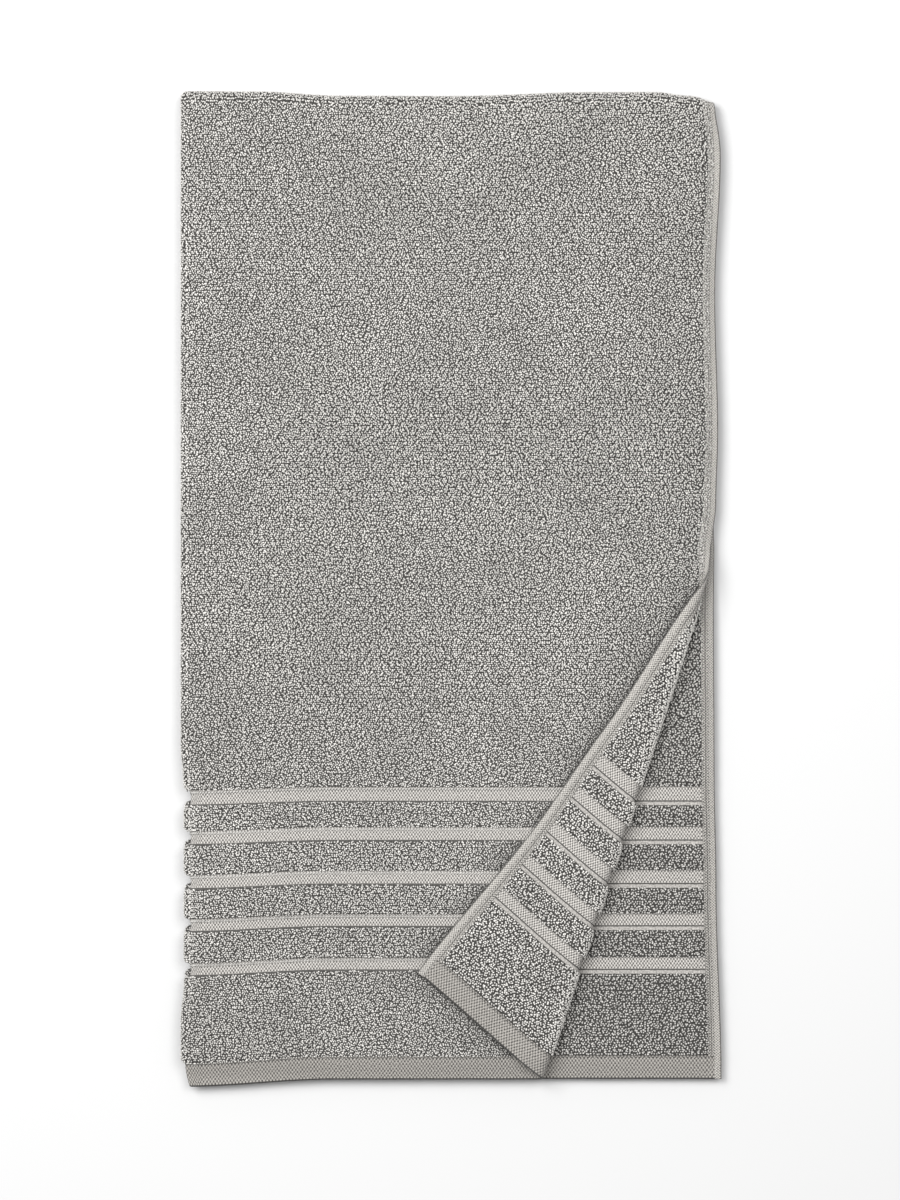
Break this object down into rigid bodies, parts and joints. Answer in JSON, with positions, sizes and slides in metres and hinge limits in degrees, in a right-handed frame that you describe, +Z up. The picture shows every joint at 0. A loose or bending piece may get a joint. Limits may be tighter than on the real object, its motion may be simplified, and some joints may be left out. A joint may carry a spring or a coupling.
{
  "type": "folded bath towel",
  "caption": "Terry bath towel folded in four, with flat woven bands near its hemmed end and the top layer's free corner turned back.",
  "frame": {"origin": "on the surface that the towel lies on, under the middle of the folded towel", "axes": "+X towards the hemmed side edges, away from the lengthwise fold; +Y towards the fold across the towel; +Z up"},
  "size_m": [0.3884, 0.7132, 0.0292],
  "materials": {
    "terry": "light warm grey cotton terry, matt, with looped pile on both faces"
  },
  "bodies": {
    "root": {"towel_cloth": "terry"}
  },
  "joints": []
}
